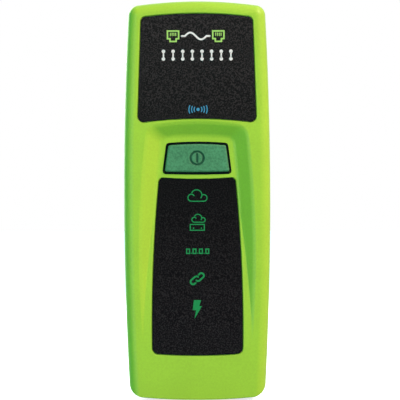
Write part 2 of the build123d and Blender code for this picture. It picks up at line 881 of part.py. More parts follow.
# Battery door: knuckle edge, pins, snap finger cut out of its upper end, foam strip inside
rib_high_z = door_high_z - finger_length - rib_start
with BuildPart() as battery_door:
    with BuildSketch(Plane.YZ):
        with BuildLine():
            Polyline(
                (back_y, pivot_z),
                (back_y, door_high_z),
                (back_y - door_thickness, door_high_z),
                (back_y - door_thickness, pivot_z),
            )
            ThreePointArc(
                (back_y - door_thickness, pivot_z),
                (pivot_y, pivot_z - pivot_r),
                (back_y, pivot_z),
            )
        make_face()
    extrude(amount=door_half_width, both=True)
    with BuildSketch(Plane.YZ):
        with Locations((pivot_y, pivot_z)):
            Circle(pin_r)
    extrude(amount=door_half_width + pin_length, both=True)
    upper_corners = battery_door.edges().filter_by(Axis.Y).group_by(Axis.Z)[-1]
    fillet(upper_corners, door_corner - door_gap)
    # Slits beside the snap finger
    with BuildSketch(rear_plane(0)):
        with Locations(*mirrored(finger_half_width, door_high_z + overlap - finger_length / 2)):
            SlotOverall(finger_length, slit_width, rotation=90)
    extrude(amount=depth, mode=Mode.SUBTRACT)
    # Grip grooves below the finger
    with BuildSketch(rear_plane(back_y - rib_depth)):
        with Locations([(0, rib_high_z - i * rib_pitch) for i in range(rib_count)]):
            SlotOverall(rib_length, rib_width)
    extrude(amount=depth, mode=Mode.SUBTRACT)
finish(battery_door, "battery_door")

with BuildPart() as door_foam_pad:
    with BuildSketch(rear_plane(cell_y + cell_r + foam_gap)):
        with Locations((0, (bay_low_z + bay_high_z) / 2)):
            Rectangle(*foam_size)
    extrude(amount=back_y - door_thickness - cell_y - cell_r - foam_gap)
finish(door_foam_pad, "door_foam_pad")

# Rating label, left blank
with BuildPart() as rating_label:
    with BuildSketch(rear_plane(back_y - label_depth)):
        with Locations((0, label_z)):
            RectangleRounded(label_width, label_height, label_corner)
    extrude(amount=label_thickness)
finish(rating_label, "rating_label")

# Case screws, driven in from the back
with BuildPart() as case_screws:
    with BuildSketch(rear_plane(screw_seat_y)):
        with Locations(case_screws_at):
            Circle(screw_r)
    extrude(amount=-(screw_seat_y - split_y + screw_length - screw_tip_gap))
    with BuildSketch(rear_plane(screw_seat_y)):
        with Locations(case_screws_at):
            Circle(screw_head_r)
    extrude(amount=screw_head)
    fillet(case_screws.edges().filter_by(GeomType.CIRCLE).group_by(Axis.Y)[-1], screw_head_round)
    with BuildSketch(rear_plane(screw_seat_y + drive_floor)):
        with Locations(case_screws_at):
            RegularPolygon(drive_r, 6)
    extrude(amount=screw_head, mode=Mode.SUBTRACT)
finish(case_screws, "case_screws")

# End plate round the socket, level with the foot of the case
jack_mid_y = (board_back_y + jack_back_y + shield) / 2
bezel_mid_y = (bezel_front_y + bezel_back_y) / 2
bezel_depth = bezel_back_y - bezel_front_y
port_room_x = 2 * (jack_half_width + shield + port_clearance)
port_room_y = jack_back_y + shield - board_back_y + 2 * port_clearance
with BuildPart() as jack_bezel:
    with BuildSketch(Plane.XY):
        with Locations((0, bezel_mid_y)):
            RectangleRounded(2 * bezel_half_width, bezel_depth, bezel_corner)
    extrude(amount=bezel_thickness)
    chamfer(jack_bezel.faces().sort_by(Axis.Z)[0].edges(), bezel_chamfer)
    with BuildSketch(Plane.XY.offset(bezel_flange_z)):
        with Locations((0, bezel_mid_y)):
            Rectangle(2 * (bezel_half_width + bezel_overhang), bezel_depth + 2 * bezel_overhang)
    extrude(amount=bezel_flange)
    with BuildSketch(Plane.XY.offset(bezel_thickness - bezel_neck_inset)):
        with Locations((0, bezel_mid_y)):
            Rectangle(2 * (bezel_half_width - bezel_neck_inset), bezel_depth - 2 * bezel_neck_inset)
    extrude(amount=bezel_flange_z - bezel_thickness + 2 * bezel_neck_inset)
    with BuildSketch(Plane.XY):
        with Locations((0, jack_mid_y)):
            Rectangle(port_room_x, port_room_y)
    extrude(amount=depth, mode=Mode.SUBTRACT)
    chamfer(jack_bezel.faces().sort_by(Axis.Z)[0].inner_wires().edges(), bezel_chamfer)
finish(jack_bezel, "jack_bezel")

# Network socket: insulator, metal shell and eight contact springs
port_mid_y = (port_front_y + port_back_y) / 2
with BuildPart() as jack_body:
    with BuildSketch(Plane.XY.offset(jack_mouth_z)):
        with Locations((0, (board_back_y + jack_back_y) / 2)):
            Rectangle(2 * jack_half_width, jack_back_y - board_back_y)
    extrude(amount=jack_top_z - jack_mouth_z)
    with BuildSketch(Plane.XY.offset(jack_mouth_z)):
        with Locations((0, port_mid_y)):
            Rectangle(2 * port_half_width, port_back_y - port_front_y)
        with Locations((0, port_back_y)):
            Rectangle(2 * tab_half_width, 2 * tab_depth)
    extrude(amount=port_depth, mode=Mode.SUBTRACT)
    with BuildSketch(Plane.XY.offset(jack_mouth_z)):
        with Locations((0, port_back_y)):
            Rectangle(2 * catch_half_width, 2 * catch_depth)
    extrude(amount=catch_length, mode=Mode.SUBTRACT)
finish(jack_body, "jack_body")

with BuildPart() as jack_shield:
    with BuildSketch(Plane.XY.offset(jack_mouth_z - shield_lip)):
        with Locations((0, jack_mid_y)):
            Rectangle(2 * (jack_half_width + shield), jack_back_y + shield - board_back_y)
    extrude(amount=jack_top_z + shield - jack_mouth_z + shield_lip)
    with BuildSketch(Plane.XY):
        with Locations((0, (board_back_y + jack_back_y) / 2)):
            Rectangle(2 * jack_half_width, jack_back_y - board_back_y)
    extrude(amount=jack_top_z, mode=Mode.SUBTRACT)
    # Grounding fingers stamped out of the sides
    with BuildSketch(Plane.YZ):
        with Locations([(jack_mid_y, z) for z in ground_slot_zs]):
            Rectangle(*ground_slot)
    extrude(amount=depth, both=True, mode=Mode.SUBTRACT)
finish(jack_shield, "jack_shield")

with BuildPart() as jack_contacts:
    first_x = -(contact_count - 1) * contact_pitch / 2
    for index in range(contact_count):
        with BuildSketch(Plane.YZ.offset(first_x + index * contact_pitch)):
            with BuildLine():
                Polyline(
                    (port_front_y, contact_low_z),
                    (port_front_y, contact_low_z + contact_foot[1]),
                    (contact_tip_y + contact_thickness, contact_high_z),
                    (contact_tip_y + contact_thickness, contact_high_z - contact_tip),
                    (port_front_y + contact_foot[0], contact_low_z),
                    close=True,
                )
            make_face()
        extrude(amount=contact_width / 2, both=True)
finish(jack_contacts, "jack_contacts")
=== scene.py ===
from math import atan2, cos, hypot, pi, radians, sin

import bpy
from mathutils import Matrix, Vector
from mathutils.bvhtree import BVHTree


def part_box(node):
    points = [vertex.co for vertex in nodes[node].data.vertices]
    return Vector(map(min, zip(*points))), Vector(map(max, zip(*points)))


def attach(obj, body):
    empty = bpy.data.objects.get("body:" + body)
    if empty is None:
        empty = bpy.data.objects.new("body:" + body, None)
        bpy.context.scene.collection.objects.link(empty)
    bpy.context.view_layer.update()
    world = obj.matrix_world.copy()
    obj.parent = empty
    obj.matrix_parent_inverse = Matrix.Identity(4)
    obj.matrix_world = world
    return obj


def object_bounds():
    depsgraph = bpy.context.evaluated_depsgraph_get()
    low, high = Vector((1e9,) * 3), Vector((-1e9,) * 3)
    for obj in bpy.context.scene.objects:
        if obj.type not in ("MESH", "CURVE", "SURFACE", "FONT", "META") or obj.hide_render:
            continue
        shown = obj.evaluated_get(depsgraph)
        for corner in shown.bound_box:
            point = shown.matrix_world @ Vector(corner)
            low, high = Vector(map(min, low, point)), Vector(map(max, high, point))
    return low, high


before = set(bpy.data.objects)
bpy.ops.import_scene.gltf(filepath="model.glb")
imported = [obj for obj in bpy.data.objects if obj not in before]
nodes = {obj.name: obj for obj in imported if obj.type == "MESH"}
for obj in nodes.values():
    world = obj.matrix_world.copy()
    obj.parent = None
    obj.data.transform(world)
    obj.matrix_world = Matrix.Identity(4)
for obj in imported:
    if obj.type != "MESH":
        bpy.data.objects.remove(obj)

# The network cable tester's looks: materials for every CAD node, printed pictograms on the
# overlay films, studio light and camera. Metres, in the CAD frame: -Y is the front, +Z is up.

MM = 0.001
cad_low, cad_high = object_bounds()
height = cad_high.z - cad_low.z
centre = (cad_low + cad_high) / 2


# ---------------------------------------------------------------- node helpers


class Graph:
    """Short-hand for building a node tree, of a material or of the world."""

    def __init__(self, owner):
        owner.use_nodes = True
        self.nodes = owner.node_tree.nodes
        self.links = owner.node_tree.links

    def add(self, kind, inputs=None, **settings):
        node = self.nodes.new(kind)
        for key, value in settings.items():
            setattr(node, key, value)
        for key, value in (inputs or {}).items():
            self.feed(node.inputs[key], value)
        return node

    def feed(self, socket, value):
        if isinstance(value, bpy.types.NodeSocket):
            self.links.new(value, socket)
        else:
            socket.default_value = value

    def band(self, value, low, high, to_low, to_high):
        """Maps value from low..high to to_low..to_high, clamped."""
        node = self.add(
            "ShaderNodeMapRange",
            {
                "Value": value,
                "From Min": low,
                "From Max": high,
                "To Min": to_low,
                "To Max": to_high,
            },
        )
        return node.outputs[0]

    def rise(self, value, start, end):
        """0 below start and 1 above end."""
        return self.band(value, start, end, 0.0, 1.0)

    def fall(self, value, start, end):
        """1 below start and 0 above end."""
        return self.band(value, start, end, 1.0, 0.0)

    def mix(self, factor, first, second):
        """The first colour at factor 0 and the second at factor 1."""
        colors = {"Factor": factor, "A": first, "B": second}
        return self.add("ShaderNodeMix", colors, data_type="RGBA").outputs["Result"]


class Tree(Graph):
    """A material's node tree, with textures that stay put on the object."""

    def __init__(self, name):
        self.material = bpy.data.materials.new(name)
        super().__init__(self.material)
        self.shader = self.nodes["Principled BSDF"]
        self.place = self.add("ShaderNodeTexCoord").outputs["Object"]

    def axis(self, letter):
        """The coordinate along X, Y or Z, in metres."""
        return self.add("ShaderNodeSeparateXYZ", {"Vector": self.place}).outputs[letter]

    def noise(self, size, detail=2.0, roughness=0.5, stretch=(1, 1, 1)):
        """Noise whose features are about size metres across, as a 0 to 1 value."""
        mapping = self.add("ShaderNodeMapping", {"Vector": self.place, "Scale": stretch})
        node = self.add(
            "ShaderNodeTexNoise",
            {
                "Vector": mapping.outputs[0],
                "Scale": 1 / size,
                "Detail": detail,
                "Roughness": roughness,
            },
        )
        return node.outputs[0]

    def cells(self, size):
        """Distance inside cells of about size metres."""
        node = self.add("ShaderNodeTexVoronoi", {"Vector": self.place, "Scale": 1 / size})
        return node.outputs["Distance"]

    def shaded(self, color, value):
        """The colour made lighter or darker by value."""
        return self.add("ShaderNodeHueSaturation", {"Color": color, "Value": value}).outputs[0]

    def bump(self, height_value, distance, strength, normal=None):
        """Normals of a surface that height_value, 0 to 1, raises by up to distance."""
        inputs = {"Height": height_value, "Distance": distance, "Strength": strength}
        if normal is not None:
            inputs["Normal"] = normal
        return self.add("ShaderNodeBump", inputs).outputs[0]

    def depth(self, start, end):
        """0 in front of start and 1 behind end, along Y."""
        return self.rise(self.axis("Y"), start, end)

    def near(self, x, z, radius, soft):
        """1 within radius of an axis along Y, 0 beyond it."""
        kind = "ShaderNodeVectorMath"
        flat = self.add(kind, {0: self.place, 1: (1, 0, 1)}, operation="MULTIPLY").outputs[0]
        gap = self.add(kind, {0: flat, 1: (x, 0, z)}, operation="DISTANCE").outputs["Value"]
        return self.fall(gap, radius, radius + soft)

    def math(self, operation, first, second=0.0):
        return self.add("ShaderNodeMath", {0: first, 1: second}, operation=operation).outputs[0]

    def both(self, first, second):
        """The product, so that two masks leave only what lies in both."""
        return self.math("MULTIPLY", first, second)

    def soft_edges(self, radius):
        """Normals that round every edge off by radius."""
        return self.add("ShaderNodeBevel", {"Radius": radius}, samples=6).outputs[0]

    def finish(self, color, roughness, normal=None, **constants):
        """Feeds the shader and returns the material; constants name its other inputs."""
        self.feed(self.shader.inputs["Base Color"], color)
        self.feed(self.shader.inputs["Roughness"], roughness)
        if normal is not None:
            self.feed(self.shader.inputs["Normal"], normal)
        for key, value in constants.items():
            self.shader.inputs[key.replace("_", " ")].default_value = value
        return self.material


def rgb(red, green, blue):
    return (red, green, blue, 1.0)


# ---------------------------------------------------------------- materials


def moulded(
    name,
    color,
    grain=0.28 * MM,
    depth=0.012 * MM,
    rough=(0.42, 0.56),
    tint=0.08,
    edge=0.12 * MM,
    gleam=0.4,
    recesses=None,
    sheen=0.0,
):
    """Moulded plastic with a fine spark-eroded texture and slight colour and gloss variation.

    grain, depth and edge are lengths, rough is the range of roughness, tint the share by which
    the colour varies, gleam the specular level, and sheen pales the grazing edges. recesses, a
    function of the tree, gives pairs of a mask and the dark colour painted there as shade.
    """
    tree = Tree(name)
    fine = tree.noise(grain, detail=3.0, roughness=0.6)
    broad = tree.noise(9 * MM, detail=2.0)
    shade = tree.band(broad, 0.3, 0.7, 1 - tint / 2, 1 + tint / 2)
    speck = tree.band(fine, 0.35, 0.65, 1 - tint, 1 + tint)
    varied = tree.shaded(color, tree.both(shade, speck))
    for mask, under in recesses(tree) if recesses else ():
        varied = tree.mix(mask, varied, under)
    gloss = tree.band(fine, 0.3, 0.7, *rough)
    normal = tree.bump(fine, depth, 0.8, tree.soft_edges(edge))
    return tree.finish(
        varied, gloss, normal, Specular_IOR_Level=gleam, Sheen_Weight=sheen, Sheen_Roughness=0.35
    )


def film(name, node, dark, light, low_painted_light, high_painted_light):
    """Speckled textured overlay film, its black scaled from one end to the other by painted light and
    shade.
    """
    tree = Tree(name)
    grain = tree.noise(0.36 * MM, detail=1.0, roughness=0.8)
    fine = tree.noise(0.2 * MM, detail=2.0)
    speckle = tree.rise(grain, 0.46, 0.62)
    low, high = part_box(node)
    # Painted light and shade: the black is scaled along the film's height.
    painted_light = tree.band(tree.axis("Z"), low.z, high.z, low_painted_light, high_painted_light)
    color = tree.shaded(tree.mix(speckle, dark, light), painted_light)
    gloss = tree.band(fine, 0.3, 0.7, 0.46, 0.64)
    normal = tree.bump(grain, 0.02 * MM, 0.7)
    normal = tree.bump(fine, 0.008 * MM, 0.7, normal)
    return tree.finish(color, gloss, normal, Specular_IOR_Level=0.07)


def ink(name, color, rough=0.45):
    """Screen-printed ink, slightly uneven, following the film's texture."""
    tree = Tree(name)
    grain = tree.noise(0.4 * MM, detail=2.0)
    varied = tree.shaded(color, tree.band(grain, 0.3, 0.7, 0.90, 1.08))
    normal = tree.bump(grain, 0.006 * MM, 0.6)
    return tree.finish(varied, rough, normal, Specular_IOR_Level=0.1)


def metal(name, color, rough):
    """Rolled or plated metal, finely brushed across its height, with faint tarnish."""
    tree = Tree(name)
    brush = tree.noise(0.35 * MM, detail=3.0, roughness=0.6, stretch=(1, 1, 12))
    tarnish = tree.noise(3 * MM, detail=3.0)
    varied = tree.shaded(color, tree.band(tarnish, 0.35, 0.7, 1.05, 0.82))
    gloss = tree.band(brush, 0.3, 0.7, rough - 0.07, rough + 0.1)
    normal = tree.bump(brush, 0.004 * MM, 0.6, tree.soft_edges(0.08 * MM))
    return tree.finish(varied, gloss, normal, Metallic=1.0)


def solder_mask(name):
    """Green circuit board with faint tracks under the mask."""
    tree = Tree(name)
    onto_board = tree.add("ShaderNodeMapping", {"Vector": tree.place, "Rotation": (pi / 2, 0, 0)})
    tracks = tree.add(
        "ShaderNodeTexBrick",
        {
            "Vector": onto_board.outputs[0],
            "Scale": 1 / (4 * MM),
            "Mortar Size": 0.05,
            "Color1": rgb(0, 0, 0),
            "Color2": rgb(0, 0, 0),
            "Mortar": rgb(1, 1, 1),
        },
    ).outputs["Color"]
    color = tree.mix(tracks, rgb(0.008, 0.09, 0.03), rgb(0.02, 0.17, 0.06))
    mottling = tree.noise(2 * MM)
    gloss = tree.band(mottling, 0.3, 0.7, 0.22, 0.34)
    normal = tree.bump(tracks, 0.01 * MM, 0.5, tree.soft_edges(0.1 * MM))
    return tree.finish(color, gloss, normal)


def foam(name):
    """Closed-cell foam with open pores on the cut face."""
    tree = Tree(name)
    pores = tree.cells(0.5 * MM)
    open_pore = tree.rise(pores, 0.1, 0.6)
    color = tree.mix(open_pore, rgb(0.012, 0.012, 0.013), rgb(0.05, 0.05, 0.055))
    normal = tree.bump(pores, 0.08 * MM, 0.8)
    return tree.finish(color, 0.9, normal)


def wrapped_cell(name, node, positive_up):
    """Wrap of a plain cell: dark sleeve, copper band at the positive end, bare steel at both ends."""
    tree = Tree(name)
    low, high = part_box(node)
    length = high.z - low.z
    band_end, cap_end, base_start, edge = 0.28 * length, 1.7 * MM, length - 0.45 * MM, 0.05 * MM
    positive_z = high.z if positive_up else low.z
    from_positive = tree.math("ABSOLUTE", tree.math("SUBTRACT", tree.axis("Z"), positive_z))
    banded = tree.fall(from_positive, band_end, band_end + edge)
    color = tree.mix(banded, rgb(0.02, 0.021, 0.024), rgb(0.45, 0.19, 0.07))
    bare_cap = tree.fall(from_positive, cap_end, cap_end + edge)
    bare_base = tree.rise(from_positive, base_start, base_start + edge)
    color = tree.mix(tree.math("MAXIMUM", bare_cap, bare_base), color, rgb(0.62, 0.61, 0.59))
    scuff = tree.noise(1.2 * MM, detail=4.0, roughness=0.7)
    gloss = tree.band(scuff, 0.3, 0.75, 0.2, 0.42)
    normal = tree.bump(scuff, 0.006 * MM, 0.5)
    return tree.finish(color, gloss, normal, Metallic=0.35)


def milky(name):
    """Milky light-guide plastic."""
    tree = Tree(name)
    haze = tree.noise(1.5 * MM)
    color = tree.mix(haze, rgb(0.62, 0.66, 0.66), rgb(0.8, 0.83, 0.83))
    gloss = tree.band(haze, 0.3, 0.7, 0.25, 0.4)
    normal = tree.bump(haze, 0.02 * MM, 0.4, tree.soft_edges(0.15 * MM))
    return tree.finish(color, gloss, normal, Subsurface_Weight=0.4, Subsurface_Scale=1.5 * MM)


def ruled_label(name, node):
    """Silver label film printed with a thin frame and blank rules to write on."""
    tree = Tree(name)
    low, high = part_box(node)
    middle = (low + high) / 2
    aside = tree.math("ABSOLUTE", tree.math("SUBTRACT", tree.axis("X"), middle.x))
    along = tree.math("SUBTRACT", tree.axis("Z"), middle.z)
    from_side = tree.math("SUBTRACT", high.x - middle.x, aside)
    from_end = tree.math("SUBTRACT", high.z - middle.z, tree.math("ABSOLUTE", along))
    inset = tree.math("MINIMUM", from_side, from_end)
    frame_outer, frame_inner, field, edge = 1.2 * MM, 1.5 * MM, 3.0 * MM, 0.05 * MM
    frame_line = tree.both(
        tree.rise(inset, frame_outer, frame_outer + edge),
        tree.fall(inset, frame_inner, frame_inner + edge),
    )
    half_pitch, half_rule, rule_edge = 2.1 * MM, 0.1 * MM, 0.04 * MM
    from_rule = tree.math("PINGPONG", along, half_pitch)
    rules = tree.both(
        tree.fall(from_rule, half_rule, half_rule + rule_edge),
        tree.rise(inset, field, field + edge),
    )
    printed = tree.math("MAXIMUM", frame_line, rules)
    grain = tree.noise(0.6 * MM, detail=3.0)
    silver = tree.mix(grain, rgb(0.50, 0.51, 0.52), rgb(0.62, 0.63, 0.64))
    color = tree.mix(printed, silver, rgb(0.03, 0.03, 0.032))
    gloss = tree.band(grain, 0.3, 0.7, 0.28, 0.4)
    return tree.finish(color, gloss, tree.bump(grain, 0.004 * MM, 0.8), Specular_IOR_Level=0.4)


def paint(material, *names):
    """Gives the material to the named CAD nodes."""
    for name in names:
        nodes[name].data.materials.clear()
        nodes[name].data.materials.append(material)


cap_low, cap_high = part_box("power_button")
cap_centre = (cap_low + cap_high) / 2
CAP_PROUD = 0.9 * MM
SYMBOL_REACH = 2.6 * MM
# Reach from the cap's centre of the painted shade on the opening's walls.
OPENING_SHADE_REACH = 11.5 * MM
SOFT = 0.2 * MM
scoop_floor_y = cap_low.y + CAP_PROUD


def shell_painted_shade(tree):
    """Painted shade: near-black on the walls of the button's opening, behind the scoop's floor."""
    inside = tree.near(cap_centre.x, cap_centre.z, OPENING_SHADE_REACH, SOFT)
    sunk = tree.depth(scoop_floor_y + 0.1 * MM, scoop_floor_y + 0.2 * MM)
    return [(tree.both(sunk, inside), rgb(0.004, 0.006, 0.005))]


def button_painted_shade(tree):
    """Painted shade: darker in the engraved symbol, and black on the cap below the opening's rim."""
    symbol = tree.near(cap_centre.x, cap_centre.z, SYMBOL_REACH, SOFT)
    cut = tree.depth(cap_low.y + 0.04 * MM, cap_low.y + 0.16 * MM)
    below_rim = tree.depth(scoop_floor_y - 0.15 * MM, scoop_floor_y + 0.05 * MM)
    return [
        (tree.both(symbol, cut), rgb(0.014, 0.085, 0.038)),
        (below_rim, rgb(0.004, 0.008, 0.006)),
    ]


green_shell = moulded(
    "moulded_green",
    rgb(0.346, 0.572, 0.030),
    grain=0.45 * MM,
    depth=0.008 * MM,
    rough=(0.4, 0.52),
    tint=0.05,
    edge=0.4 * MM,
    gleam=0.42,
    recesses=shell_painted_shade,
    sheen=0.3,
)
charcoal_shell = moulded(
    "moulded_charcoal", rgb(0.030, 0.032, 0.034), depth=0.02 * MM, rough=(0.5, 0.66), gleam=0.25
)
black_moulding = moulded("moulded_black", rgb(0.012, 0.012, 0.013), rough=(0.35, 0.5))
button_plastic = moulded(
    "moulded_button",
    rgb(0.061, 0.220, 0.103),
    grain=0.55 * MM,
    depth=0.08 * MM,
    rough=(0.35, 0.46),
    tint=0.2,
    edge=0.3 * MM,
    gleam=0.3,
    recesses=button_painted_shade,
)
# The last two numbers scale each film's black at its lower and upper ends: painted light and shade.
upper_film = film(
    "film_upper", "upper_overlay", rgb(0.006, 0.0055, 0.006), rgb(0.033, 0.0272, 0.0285), 0.80, 1.15
)
lower_film = film(
    "film_lower", "lower_overlay", rgb(0.0025, 0.0012, 0.0025), rgb(0.0210, 0.0170, 0.0192), 1.10, 0.52
)
board_mask = solder_mask("board_solder_mask")
tin = metal("tinned_sheet", rgb(0.70, 0.70, 0.68), rough=0.3)
gold = metal("gold_plate", rgb(0.95, 0.66, 0.26), rough=0.2)
nickel = metal("nickel_plate", rgb(0.74, 0.72, 0.68), rough=0.22)
dark_steel = metal("blackened_steel", rgb(0.12, 0.12, 0.125), rough=0.36)
can_aluminium = metal("can_aluminium", rgb(0.78, 0.79, 0.80), rough=0.25)
label_film = ruled_label("label_silver", "rating_label")
chip_epoxy = moulded("chip_epoxy", rgb(0.018, 0.018, 0.019), grain=0.12 * MM, rough=(0.5, 0.65))
ferrite = moulded("ferrite_grey", rgb(0.09, 0.09, 0.095), rough=(0.6, 0.75))
ceramic = moulded("antenna_ceramic", rgb(0.72, 0.70, 0.62), depth=0.004 * MM, rough=(0.3, 0.42))
led_body = moulded("led_body", rgb(0.80, 0.79, 0.68), depth=0.004 * MM, rough=(0.25, 0.4))
red_plastic = moulded("plunger_red", rgb(0.30, 0.03, 0.025), depth=0.004 * MM)
red_lead = moulded("lead_red", rgb(0.42, 0.015, 0.012), depth=0.006 * MM, rough=(0.3, 0.42))
black_lead = moulded("lead_black", rgb(0.012, 0.012, 0.013), depth=0.006 * MM, rough=(0.3, 0.42))
guide_plastic = milky("guide_milky")

paint(green_shell, "front_shell")
paint(charcoal_shell, "rear_shell", "battery_door")
paint(upper_film, "upper_overlay")
paint(lower_film, "lower_overlay")
paint(button_plastic, "power_button")
paint(black_moulding, "jack_bezel", "jack_body", "light_baffle", "battery_tray", "tact_switch")
paint(label_film, "rating_label")
paint(dark_steel, "case_screws", "board_screws")
paint(tin, "jack_shield", "wifi_shield", "crystal")
paint(gold, "jack_contacts")
paint(nickel, "spring_contacts", "plate_contacts")
paint(board_mask, "main_board", "wifi_module")
paint(chip_epoxy, "processor", "network_chip", "memory_chip", "transformer_module")
paint(ferrite, "power_inductor")
paint(ceramic, "wifi_antenna")
paint(can_aluminium, "capacitors")
paint(led_body, "status_leds")
paint(red_plastic, "switch_plunger")
paint(guide_plastic, "light_guide", "wireless_light_pipe")
paint(wrapped_cell("cell_wrap_left", "battery_cell_left", True), "battery_cell_left")
paint(wrapped_cell("cell_wrap_right", "battery_cell_right", False), "battery_cell_right")
paint(foam("door_foam"), "door_foam_pad")
paint(red_lead, "battery_lead_positive")
paint(black_lead, "battery_lead_negative")


# ---------------------------------------------------------------- printed pictograms

# Strokes are drawn in millimetres, x to the right and z up, about a centre, and laid on the film.

PRINT_LIFT = 0.03
PRINT_THICKNESS = 0.05
ARC_STEP = 9.0
CAP_STEPS = 6
SHARPEST_MITRE = 0.45
STATUS_STROKE = 0.31
RAY_START = 10 * MM


def arc(cx, cz, radius, start, end):
    """Points on a circle from start to end, in degrees."""
    count = max(2, round(abs(end - start) / ARC_STEP) + 1)
    angles = [radians(start + (end - start) * i / (count - 1)) for i in range(count)]
    return [(cx + radius * cos(a), cz + radius * sin(a)) for a in angles]


def mirrored(points):
    """The same points left to right, in the order that carries on a closed outline."""
    return [(-x, z) for x, z in reversed(points)]


def unit(ax, az, bx, bz):
    """Direction from point a to point b."""
    length = hypot(bx - ax, bz - az) or 1.0
    return (bx - ax) / length, (bz - az) / length


class Print:
    """Flat shapes of one ink, laid on the front of one node about a centre."""

    def __init__(self, name, node, material, centre_x, centre_z, scale=1.0):
        mesh = nodes[node].data
        corners = [vertex.co for vertex in mesh.vertices]
        self.surface = BVHTree.FromPolygons(corners, [tuple(face.vertices) for face in mesh.polygons])
        self.name = name
        self.material = material
        self.centre = (centre_x, centre_z)
        self.scale = scale
        self.points = []
        self.faces = []

    def point(self, x, z):
        """Adds a point just off the surface, found by a ray from the front, and gives its number.

        Over the button's opening, where the ray meets nothing, it is level with the scoop's floor.
        """
        px = (self.centre[0] + x * self.scale) * MM
        pz = (self.centre[1] + z * self.scale) * MM
        start = Vector((px, cad_low.y - RAY_START, pz))
        hit = self.surface.ray_cast(start, Vector((0, 1, 0)))[0]
        surface_y = hit.y if hit else scoop_floor_y
        self.points.append((px, surface_y - PRINT_LIFT * MM, pz))
        return len(self.points) - 1

    def disc(self, x, z, radius, steps=24):
        """A filled circle."""
        turns = [2 * pi * i / steps for i in range(steps)]
        self.area([(x + radius * cos(a), z + radius * sin(a)) for a in turns])

    def area(self, outline):
        """A filled outline."""
        self.faces.append([self.point(x, z) for x, z in outline])

    def stroke(self, path, width, closed=False):
        """A line of even width with round ends, or a closed band."""
        half = width / 2
        count = len(path)
        left, right = [], []
        for i, (x, z) in enumerate(path):
            before = path[i - 1] if i or closed else None
            after = path[(i + 1) % count] if i < count - 1 or closed else None
            ux, uz = unit(*before, x, z) if before else unit(x, z, *after)
            vx, vz = unit(x, z, *after) if after else (ux, uz)
            nx, nz = -(uz + vz), ux + vx
            size = hypot(nx, nz)
            nx, nz = nx / size, nz / size
            reach = half / max(SHARPEST_MITRE, nz * ux - nx * uz)
            left.append(self.point(x + nx * reach, z + nz * reach))
            right.append(self.point(x - nx * reach, z - nz * reach))
        for i in range(count if closed else count - 1):
            j = (i + 1) % count
            self.faces.append([left[i], right[i], right[j], left[j]])
        if not closed:
            self.cap(path[0], path[1], half, right[0], left[0])
            self.cap(path[-1], path[-2], half, left[-1], right[-1])

    def cap(self, end, inner, half, first, last):
        """Round end of a stroke, between the two points that are already there."""
        dx, dz = unit(*inner, *end)
        base = atan2(dz, dx)
        rim = [first]
        for i in range(1, CAP_STEPS):
            a = base - pi / 2 + pi * i / CAP_STEPS
            rim.append(self.point(end[0] + half * cos(a), end[1] + half * sin(a)))
        self.faces.append(rim + [last])

    def build(self):
        """Makes the piece, thickened towards the front, on the case."""
        mesh = bpy.data.meshes.new(self.name)
        mesh.from_pydata(self.points, [], self.faces)
        mesh.materials.append(self.material)
        piece = bpy.data.objects.new(self.name, mesh)
        bpy.context.scene.collection.objects.link(piece)
        mesh.validate()
        for polygon in mesh.polygons:
            if polygon.normal.y > 0:
                polygon.flip()
        solid = piece.modifiers.new("thickness", "SOLIDIFY")
        solid.thickness = PRINT_THICKNESS * MM
        solid.offset = -1.0
        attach(piece, "case")


GREEN_INK = ink("ink_green", rgb(0.014, 0.235, 0.070))
LIME_INK = ink("ink_lime", rgb(0.36, 0.62, 0.15))
WHITE_INK = ink("ink_white", rgb(0.76, 0.72, 0.72))
BLUE_INK = ink("ink_blue", rgb(0.055, 0.27, 0.46))
# Near-black ink for the painted shadow round the button's opening.
GAP_SHADOW_INK = ink("gap_shadow_ink", rgb(0.003, 0.005, 0.004), rough=0.6)


def centre_of(node):
    """Centre of a node's box, in millimetres."""
    low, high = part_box(node)
    return (low + high) / 2 / MM


def z_at(share):
    """Height in millimetres at a share of the case's height."""
    return share * height / MM


def cloud(sheet, x, z, size, width):
    """Line cloud, size being its width, standing on z."""
    drawn_size = 5.3
    k = size / drawn_size

    def place(points):
        return [(x + px * k, z + pz * k) for px, pz in points]

    base = [(-1.65, 0), (-0.5, 0), (0.7, 0)]
    right_lobe = arc(1.78, 0.93, 0.93, -90, 112)
    left_lobe = arc(-1.65, 1.0, 1.0, 270, 68) + [(-0.95, 1.55)]
    sheet.stroke(place(base + right_lobe), width)
    sheet.stroke(place(left_lobe), width)
    sheet.stroke(place(arc(-0.22, 1.72, 1.5, 152, -14) + [(1.02, 0.95)]), width)


def port(sheet, x, z, width):
    """Front view of a modular network port."""
    half = [(1.55, 1.4), (1.55, -0.75), (0.85, -0.75), (0.85, -1.5)]
    outline = half + mirrored(half)
    sheet.stroke([(x + px, z + pz) for px, pz in outline], width, closed=True)
    contact_pitch = 0.5
    for i in range(4):
        contact_x = x + contact_pitch * (i - 1.5)
        sheet.stroke([(contact_x, z + 0.85), (contact_x, z + 0.1)], 0.26)


def link(sheet, width):
    """Two open chain links, lying up to the right."""
    slope = radians(41)
    radius, half = 0.78, 0.72

    def turned(points):
        return [(u * cos(slope) - v * sin(slope), u * sin(slope) + v * cos(slope)) for u, v in points]

    near = [(-1.2, -radius + 0.12)] + arc(-0.92 - half, 0.12, radius, 270, 90)
    near += arc(-0.92 + half, 0.12, radius, 90, 5)
    far = [(-u, -v) for u, v in near]
    sheet.stroke(turned(near), width)
    sheet.stroke(turned(far), width)


def wireless_print():
    """Blue dot over the light pipe, with waves to both sides."""
    z = centre_of("wireless_light_pipe").z
    sheet = Print("print_wireless", "upper_overlay", BLUE_INK, 0.3, z)
    sheet.disc(0, 0, 0.45)
    for radius, spread in ((1.10, 34), (1.80, 28), (2.55, 25)):
        sheet.stroke(arc(0, 0, radius, -spread, spread), 0.28)
        sheet.stroke(arc(0, 0, radius, 180 - spread, 180 + spread), 0.28)
    sheet.build()


